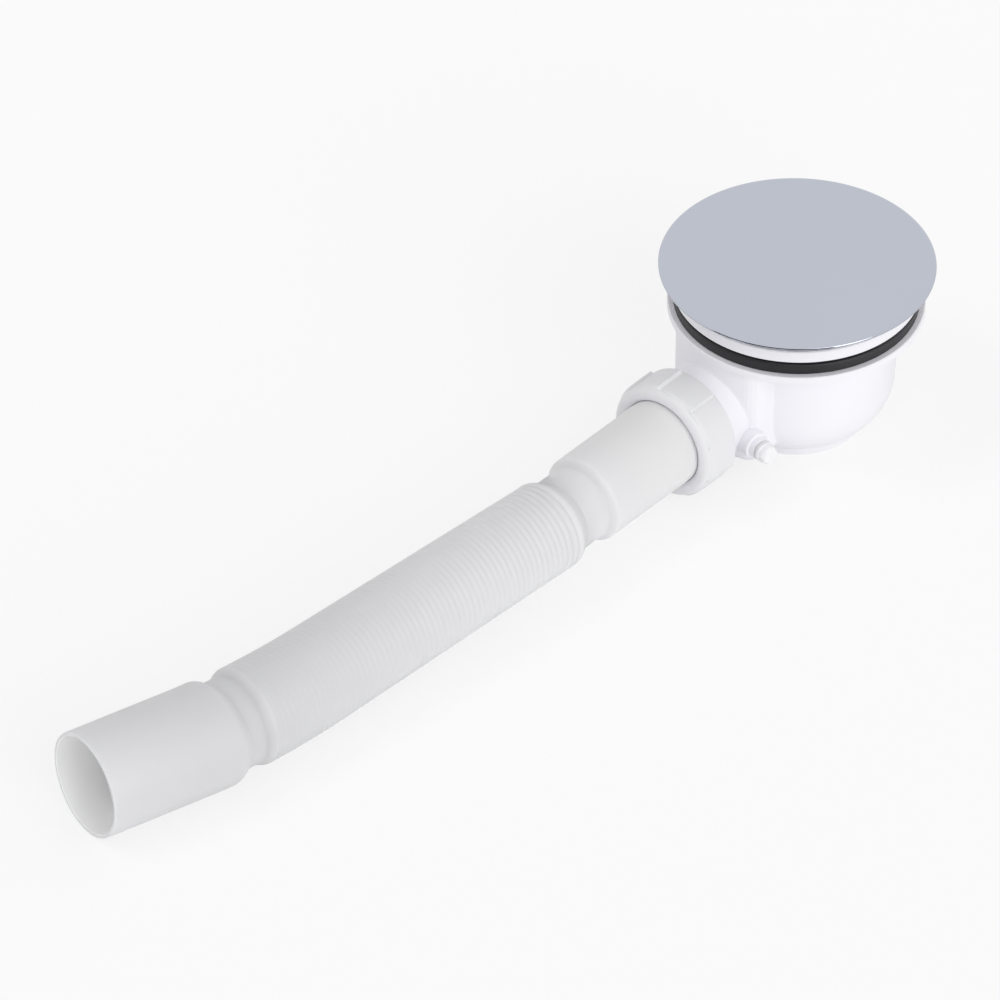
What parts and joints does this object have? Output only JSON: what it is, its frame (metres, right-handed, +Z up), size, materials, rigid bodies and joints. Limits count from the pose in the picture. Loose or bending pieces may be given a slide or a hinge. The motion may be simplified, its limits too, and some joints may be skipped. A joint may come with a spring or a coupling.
{
  "type": "shower tray trap",
  "caption": "Low round waste trap with a flat round cover over its throat, clamp flange with rubber seal, side outlet with union nut, and a corrugated waste pipe that ends in a plain cuff.",
  "frame": {"origin": "centre of the trap's foot, on the plane it stands on, under the centre of the cover", "axes": "+Z up along the axis of the trap, the outlet points along -X, +Y is the side the waste pipe bends to"},
  "size_m": [0.5037, 0.1322, 0.0848],
  "materials": {
    "chrome_cover": "polished",
    "white_plastic": "satin",
    "body_plastic": "gloss",
    "pipe_plastic": "satin, slightly translucent",
    "clear_plastic": "translucent",
    "black_rubber": "matte",
    "stainless": "plain",
    "brass": "plain"
  },
  "bodies": {
    "root": {"cover_plate": "chrome_cover", "cover_carrier": "white_plastic", "tray_flange": "white_plastic", "flange_gasket": "black_rubber", "body_seal": "black_rubber", "flange_screws": "stainless", "screw_inserts": "brass", "insert_cup": "white_plastic", "insert_o_ring": "black_rubber", "trap_body": "body_plastic", "drain_plug": "clear_plastic", "plug_seal": "black_rubber", "union_nut": "white_plastic", "slip_ring": "white_plastic", "cone_gasket": "black_rubber", "flexible_pipe": "pipe_plastic"}
  },
  "joints": []
}
